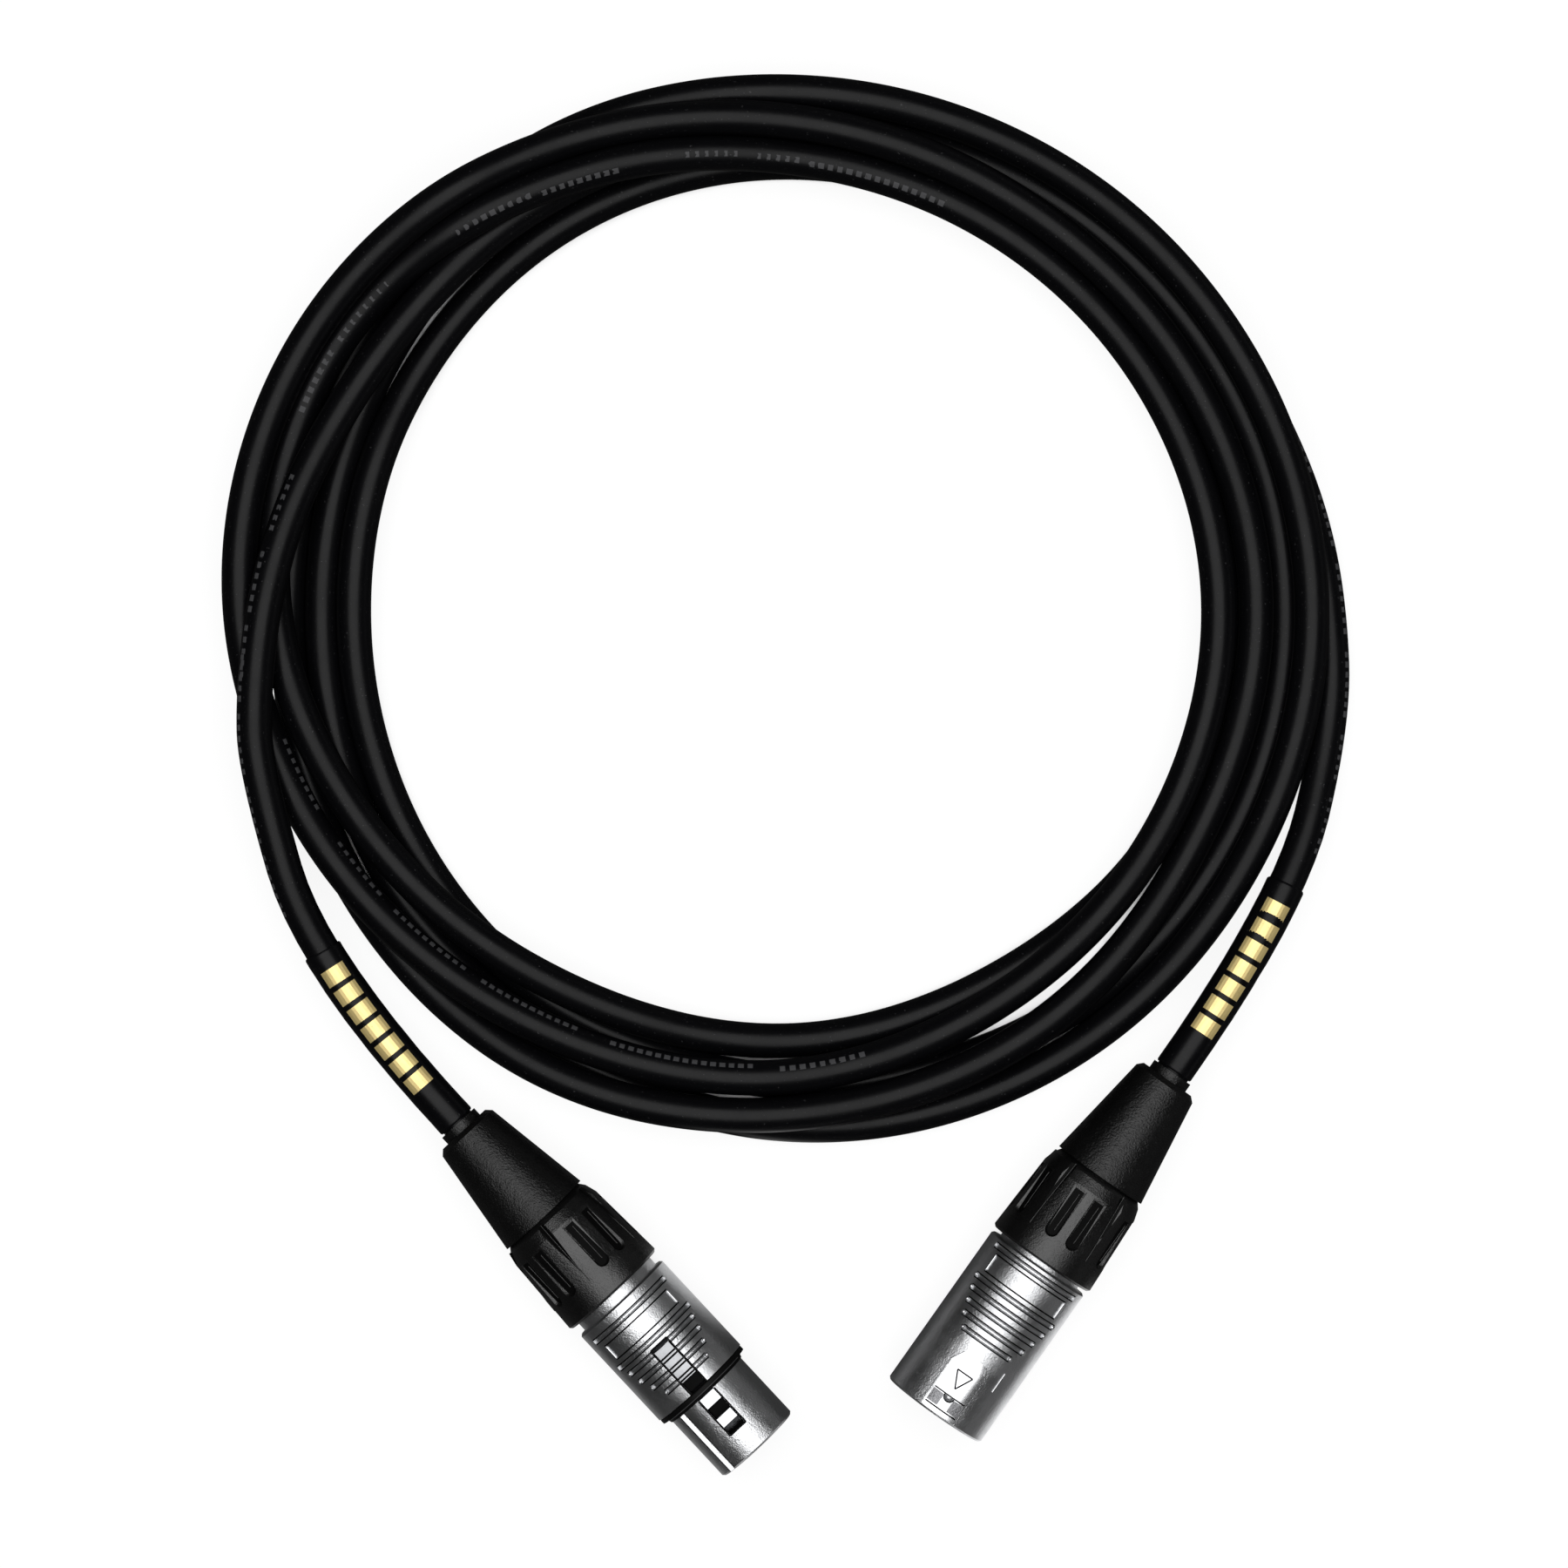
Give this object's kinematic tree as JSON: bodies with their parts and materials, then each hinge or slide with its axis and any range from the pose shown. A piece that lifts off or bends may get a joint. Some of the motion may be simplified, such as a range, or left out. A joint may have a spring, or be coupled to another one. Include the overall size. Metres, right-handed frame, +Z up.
{
  "type": "microphone cable",
  "caption": "Coiled round microphone cable with a male and a female metal-shelled plug, fluted collars, rubber boots and a sprung release latch.",
  "frame": {"origin": "on the surface that the lead lies on, under the middle of the box round the two connectors", "axes": "+Z up from the surface, +X across from the female connector's side to the male connector's side, +Y from the connectors towards the far side of the coil"},
  "size_m": [0.1946, 0.2424, 0.02],
  "materials": {
    "boot_rubber": "matt",
    "collar_plastic": "satin",
    "chuck_plastic": "matt",
    "nickel": "satin",
    "insert_plastic": "satin",
    "contact_silver": "polished",
    "ring_rubber": "matt",
    "latch_metal": "satin",
    "latch_black": "satin",
    "spring_steel": "bright",
    "wire_red": "satin",
    "wire_white": "satin",
    "drain_copper": "bright",
    "cable_jacket": "satin",
    "sleeve_shrink": "gloss"
  },
  "bodies": {
    "lead": {"male_boot": "boot_rubber", "male_collar": "collar_plastic", "male_chuck": "chuck_plastic", "male_shell": "nickel", "male_insert": "insert_plastic", "male_ground_spring": "spring_steel", "male_cable_end": "cable_jacket", "male_wire_1": "wire_red", "male_wire_2": "wire_white", "male_wire_drain": "drain_copper", "female_boot": "boot_rubber", "female_collar": "collar_plastic", "female_chuck": "chuck_plastic", "female_shell": "nickel", "female_insert": "insert_plastic", "female_ground_spring": "spring_steel", "female_cable_end": "cable_jacket", "female_wire_1": "wire_red", "female_wire_2": "wire_white", "female_wire_drain": "drain_copper", "male_pin_1": "contact_silver", "female_socket_1": "contact_silver", "male_pin_2": "contact_silver", "female_socket_2": "contact_silver", "male_pin_3": "contact_silver", "female_socket_3": "contact_silver", "female_nose_ring": "ring_rubber", "latch_spring": "spring_steel", "latch_pin": "spring_steel", "cable_left_tail": "cable_jacket", "cable_right_tail": "cable_jacket", "cable_coil": "cable_jacket", "left_sleeve": "sleeve_shrink", "right_sleeve": "sleeve_shrink"},
    "latch": {"latch_arm": "latch_black", "latch_button": "latch_metal", "latch_plate": "latch_metal", "latch_hook": "latch_metal"}
  },
  "joints": [
    {"name": "latch_push", "type": "hinge", "parent": "lead", "child": "latch", "pos_m": [-0.02592, -0.01362, 0.0156], "axis": [0.7314, 0.682, 0], "range_deg": [0, 4.3], "stiffness_Nm_per_rad": 0.5, "springref_deg": -5.73, "deforming": ["latch_spring"]}
  ]
}
